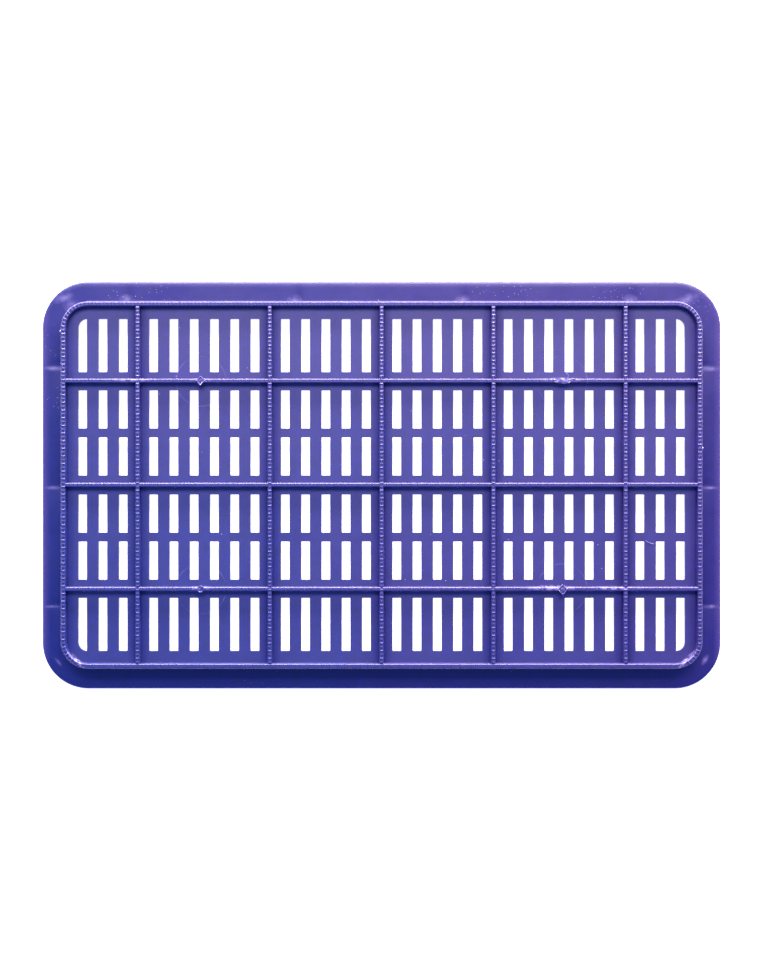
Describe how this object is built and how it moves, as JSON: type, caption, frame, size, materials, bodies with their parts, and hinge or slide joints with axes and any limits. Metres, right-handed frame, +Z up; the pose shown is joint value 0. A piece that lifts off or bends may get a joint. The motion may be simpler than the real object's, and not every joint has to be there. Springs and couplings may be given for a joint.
{
  "type": "queen excluder",
  "caption": "Flat moulded slotted grid with a raised rounded rim, stiffening ribs and a lipped outer flange; its slots pass worker bees and hold back the queen.",
  "frame": {"origin": "on the surface that the lip stands on, under the middle of the grid", "axes": "+X along the length, +Y towards the back long side, +Z up out of the ribbed side"},
  "size_m": [0.338, 0.203, 0.0137],
  "materials": {
    "polyethylene": "satin blue-violet moulded polyethylene, faintly waxy, with fine scratches and small pale specks"
  },
  "bodies": {
    "root": {"centre_strip": "polyethylene", "corner_webs": "polyethylene", "cross_rib_far_left": "polyethylene", "cross_rib_far_right": "polyethylene", "cross_rib_left": "polyethylene", "cross_rib_middle": "polyethylene", "cross_rib_right": "polyethylene", "edge_strip_back": "polyethylene", "edge_strip_front": "polyethylene", "flange_back": "polyethylene", "flange_corner_back_left": "polyethylene", "flange_corner_back_right": "polyethylene", "flange_corner_front_left": "polyethylene", "flange_corner_front_right": "polyethylene", "flange_front": "polyethylene", "flange_left": "polyethylene", "flange_right": "polyethylene", "gate_mark_back_left": "polyethylene", "gate_mark_back_right": "polyethylene", "gate_mark_front_left": "polyethylene", "gate_mark_front_right": "polyethylene", "gussets_back": "polyethylene", "gussets_front": "polyethylene", "gussets_left": "polyethylene", "gussets_right": "polyethylene", "lip_back": "polyethylene", "lip_corner_back_left": "polyethylene", "lip_corner_back_right": "polyethylene", "lip_corner_front_left": "polyethylene", "lip_corner_front_right": "polyethylene", "lip_front": "polyethylene", "lip_left": "polyethylene", "lip_right": "polyethylene", "long_rib_back": "polyethylene", "long_rib_centre": "polyethylene", "long_rib_front": "polyethylene", "narrow_strip_back": "polyethylene", "narrow_strip_front": "polyethylene", "rib_strip_back": "polyethylene", "rib_strip_front": "polyethylene", "rim_back": "polyethylene", "rim_corner_back_left": "polyethylene", "rim_corner_back_right": "polyethylene", "rim_corner_front_left": "polyethylene", "rim_corner_front_right": "polyethylene", "rim_front": "polyethylene", "rim_left": "polyethylene", "rim_right": "polyethylene", "slot_bars_inner_back": "polyethylene", "slot_bars_inner_front": "polyethylene", "slot_bars_middle_back": "polyethylene", "slot_bars_middle_front": "polyethylene", "slot_bars_outer_back": "polyethylene", "slot_bars_outer_front": "polyethylene"}
  },
  "joints": []
}
